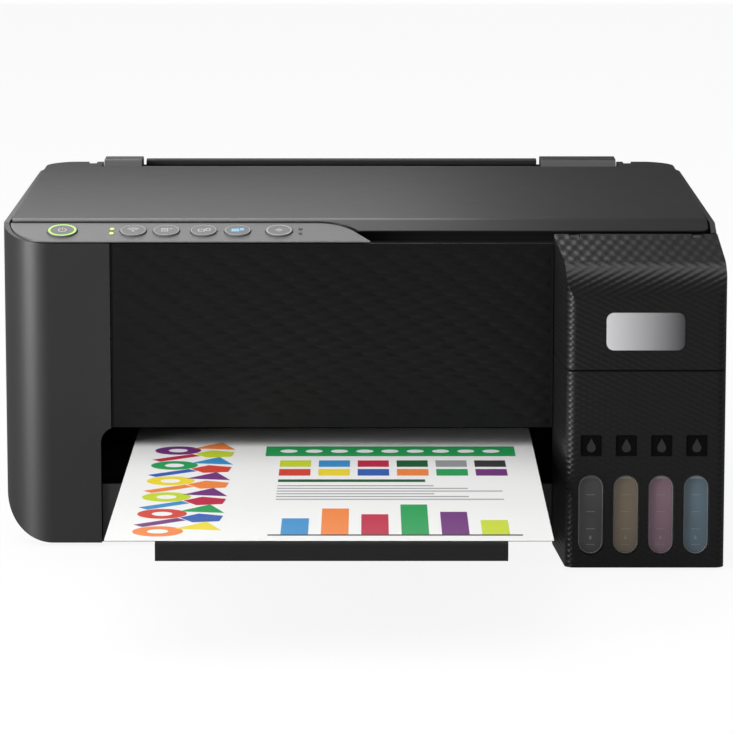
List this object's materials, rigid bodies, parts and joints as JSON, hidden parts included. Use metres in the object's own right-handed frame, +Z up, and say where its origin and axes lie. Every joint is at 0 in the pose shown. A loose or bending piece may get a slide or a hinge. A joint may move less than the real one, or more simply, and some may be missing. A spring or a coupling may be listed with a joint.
{
  "type": "inkjet printer",
  "caption": "Desktop inkjet printer with flatbed scanner, sloping button panel, side ink tanks with level windows, rear paper support and drawn-out output tray.",
  "frame": {"origin": "middle of the footprint on the floor, with the output tray drawn out", "axes": "+Z up, -Y the front of the printer, +X to the right as seen from the front"},
  "size_m": [0.375, 0.531, 0.176],
  "materials": {
    "black_body": "satin moulded, near black",
    "dark_lid": "satin, dark grey",
    "grey_panel": "satin, mid grey",
    "dark_inner": "matt black",
    "silver": "brushed",
    "clear_tank": "smoky translucent",
    "grey_cap": "satin",
    "steel": "bright",
    "rubber": "matt",
    "white_plastic": "natural",
    "button_black": "satin",
    "light": "clear, lit",
    "glass": "clear",
    "white_foam": "matt white foam",
    "board_green": "lacquered board",
    "paper": "plain paper with a print"
  },
  "bodies": {
    "base": {"left_housing": "black_body", "right_housing": "black_body", "front_panel": "black_body", "tank_housing": "black_body", "rear_housing": "black_body", "base_tray": "black_body", "platen": "dark_inner", "capping_station": "dark_inner", "power_inlet": "dark_inner", "data_port": "silver", "black_tank": "clear_tank", "yellow_tank": "clear_tank", "magenta_tank": "clear_tank", "cyan_tank": "clear_tank", "hinge_pins": "steel", "carriage_rod": "steel", "main_frame": "steel", "motors": "steel", "power_supply": "steel", "feet": "rubber", "carriage_belt": "rubber", "waste_ink_pad": "white_foam", "main_board": "board_green"},
    "lid": {"scanner_lid": "dark_lid", "lid_pad": "white_foam"},
    "tank_cover": {"tank_cover": "black_body", "badge_plate": "silver"},
    "paper_support": {"paper_support": "dark_inner"},
    "edge_guide": {"edge_guide": "dark_inner"},
    "output_tray": {"output_tray": "dark_inner"},
    "tray_extension": {"tray_extension": "dark_inner"},
    "printed_sheet": {"printed_sheet": "paper"},
    "carriage": {"ink_carriage": "dark_inner", "print_head": "steel"},
    "motor_pulley": {"motor_pulley": "white_plastic"},
    "idler_pulley": {"idler_pulley": "white_plastic"},
    "scan_carriage": {"scan_carriage": "dark_inner"},
    "feed_roller": {"feed_roller": "rubber", "feed_gear": "white_plastic"},
    "exit_roller": {"exit_roller": "rubber", "exit_gear": "white_plastic"},
    "idler_gear": {"idler_gear": "white_plastic"},
    "feed_pinion": {"feed_pinion": "white_plastic"},
    "pickup_roller": {"pickup_roller": "rubber"},
    "scanner_unit": {"scanner_bed": "dark_inner", "scanner_glass": "glass", "scan_rod": "steel", "lid_hinge_pins": "steel", "control_panel": "grey_panel", "indicator_lights": "light"},
    "black_cap": {"black_cap": "grey_cap"},
    "yellow_cap": {"yellow_cap": "grey_cap"},
    "magenta_cap": {"magenta_cap": "grey_cap"},
    "cyan_cap": {"cyan_cap": "grey_cap"},
    "button_power": {"button_power": "button_black"},
    "button_network": {"button_network": "button_black"},
    "button_status": {"button_status": "button_black"},
    "button_copy_grey": {"button_copy_grey": "button_black"},
    "button_copy_colour": {"button_copy_colour": "button_black"},
    "button_stop": {"button_stop": "button_black"}
  },
  "joints": [
    {"name": "scanner_lift", "type": "hinge", "parent": "base", "child": "scanner_unit", "pos_m": [0, 0.2545, 0.152], "axis": [-1, 0, 0], "range_deg": [0, 25]},
    {"name": "lid_open", "type": "hinge", "parent": "scanner_unit", "child": "lid", "pos_m": [0, 0.2525, 0.1682], "axis": [-1, 0, 0], "range_deg": [0, 65]},
    {"name": "tank_cover_open", "type": "hinge", "parent": "base", "child": "tank_cover", "pos_m": [0.145, -0.0155, 0.16098], "axis": [-1, 0, 0], "range_deg": [0, 85]},
    {"name": "support_slide", "type": "slide", "parent": "base", "child": "paper_support", "axis": [0, 0.5736, 0.8192], "range_m": [0, 0.11]},
    {"name": "guide_slide", "type": "slide", "parent": "paper_support", "child": "edge_guide", "axis": [1, 0, 0], "range_m": [-0.06, 0]},
    {"name": "tray_slide", "type": "slide", "parent": "base", "child": "output_tray", "axis": [0, 1, 0], "range_m": [0, 0.13]},
    {"name": "extension_slide", "type": "slide", "parent": "output_tray", "child": "tray_extension", "axis": [0, 1, 0], "range_m": [0, 0.115]},
    {"name": "sheet_slide", "type": "slide", "parent": "base", "child": "printed_sheet", "axis": [0, -1, 0], "range_m": [0, 0.08]},
    {"name": "carriage_slide", "type": "slide", "parent": "base", "child": "carriage", "axis": [1, 0, 0], "range_m": [-0.22, 0]},
    {"name": "motor_pulley_spin", "type": "hinge", "parent": "base", "child": "motor_pulley", "pos_m": [-0.134, 0.1095, 0.095], "axis": [0, 1, 0], "range_deg": [-1945, 5]},
    {"name": "idler_pulley_spin", "type": "hinge", "parent": "base", "child": "idler_pulley", "pos_m": [0.134, 0.1095, 0.095], "axis": [0, 1, 0], "range_deg": [-1945, 5]},
    {"name": "scan_slide", "type": "slide", "parent": "scanner_unit", "child": "scan_carriage", "axis": [1, 0, 0], "range_m": [0, 0.3]},
    {"name": "feed_spin", "type": "hinge", "parent": "base", "child": "feed_roller", "pos_m": [0, 0.1235, 0.06], "axis": [1, 0, 0], "continuous": true},
    {"name": "exit_spin", "type": "hinge", "parent": "base", "child": "exit_roller", "pos_m": [0, 0.0435, 0.06], "axis": [1, 0, 0], "continuous": true},
    {"name": "idler_spin", "type": "hinge", "parent": "base", "child": "idler_gear", "pos_m": [-0.1585, 0.0835, 0.06], "axis": [1, 0, 0], "continuous": true},
    {"name": "pinion_spin", "type": "hinge", "parent": "base", "child": "feed_pinion", "pos_m": [-0.1585, 0.1495, 0.06], "axis": [1, 0, 0], "continuous": true},
    {"name": "pickup_spin", "type": "hinge", "parent": "base", "child": "pickup_roller", "pos_m": [0, 0.1815, 0.085], "axis": [1, 0, 0], "continuous": true},
    {"name": "black_cap_open", "type": "hinge", "parent": "base", "child": "black_cap", "pos_m": [0.1188, -0.0365, 0.1088], "axis": [-1, 0, 0], "range_deg": [0, 110]},
    {"name": "yellow_cap_open", "type": "hinge", "parent": "base", "child": "yellow_cap", "pos_m": [0.1368, -0.0365, 0.1088], "axis": [-1, 0, 0], "range_deg": [0, 110]},
    {"name": "magenta_cap_open", "type": "hinge", "parent": "base", "child": "magenta_cap", "pos_m": [0.1548, -0.0365, 0.1088], "axis": [-1, 0, 0], "range_deg": [0, 110]},
    {"name": "cyan_cap_open", "type": "hinge", "parent": "base", "child": "cyan_cap", "pos_m": [0.1728, -0.0365, 0.1088], "axis": [-1, 0, 0], "range_deg": [0, 110]},
    {"name": "press_power", "type": "slide", "parent": "scanner_unit", "child": "button_power", "axis": [0, 0.278, -0.9606], "range_m": [0, 0.0006], "stiffness_N_per_m": 400},
    {"name": "press_network", "type": "slide", "parent": "scanner_unit", "child": "button_network", "axis": [0, 0.278, -0.9606], "range_m": [0, 0.0006], "stiffness_N_per_m": 400},
    {"name": "press_status", "type": "slide", "parent": "scanner_unit", "child": "button_status", "axis": [0, 0.278, -0.9606], "range_m": [0, 0.0006], "stiffness_N_per_m": 400},
    {"name": "press_copy_grey", "type": "slide", "parent": "scanner_unit", "child": "button_copy_grey", "axis": [0, 0.278, -0.9606], "range_m": [0, 0.0006], "stiffness_N_per_m": 400},
    {"name": "press_copy_colour", "type": "slide", "parent": "scanner_unit", "child": "button_copy_colour", "axis": [0, 0.278, -0.9606], "range_m": [0, 0.0006], "stiffness_N_per_m": 400},
    {"name": "press_stop", "type": "slide", "parent": "scanner_unit", "child": "button_stop", "axis": [0, 0.278, -0.9606], "range_m": [0, 0.0006], "stiffness_N_per_m": 400}
  ],
  "couplings": [
    {"joint": "motor_pulley_spin", "follows": "carriage_slide", "rad_per_m": 153.85},
    {"joint": "idler_pulley_spin", "follows": "carriage_slide", "rad_per_m": 153.85},
    {"joint": "idler_spin", "follows": "feed_spin", "ratio": -1},
    {"joint": "exit_spin", "follows": "feed_spin", "ratio": 1},
    {"joint": "pinion_spin", "follows": "feed_spin", "ratio": -3.3333}
  ]
}
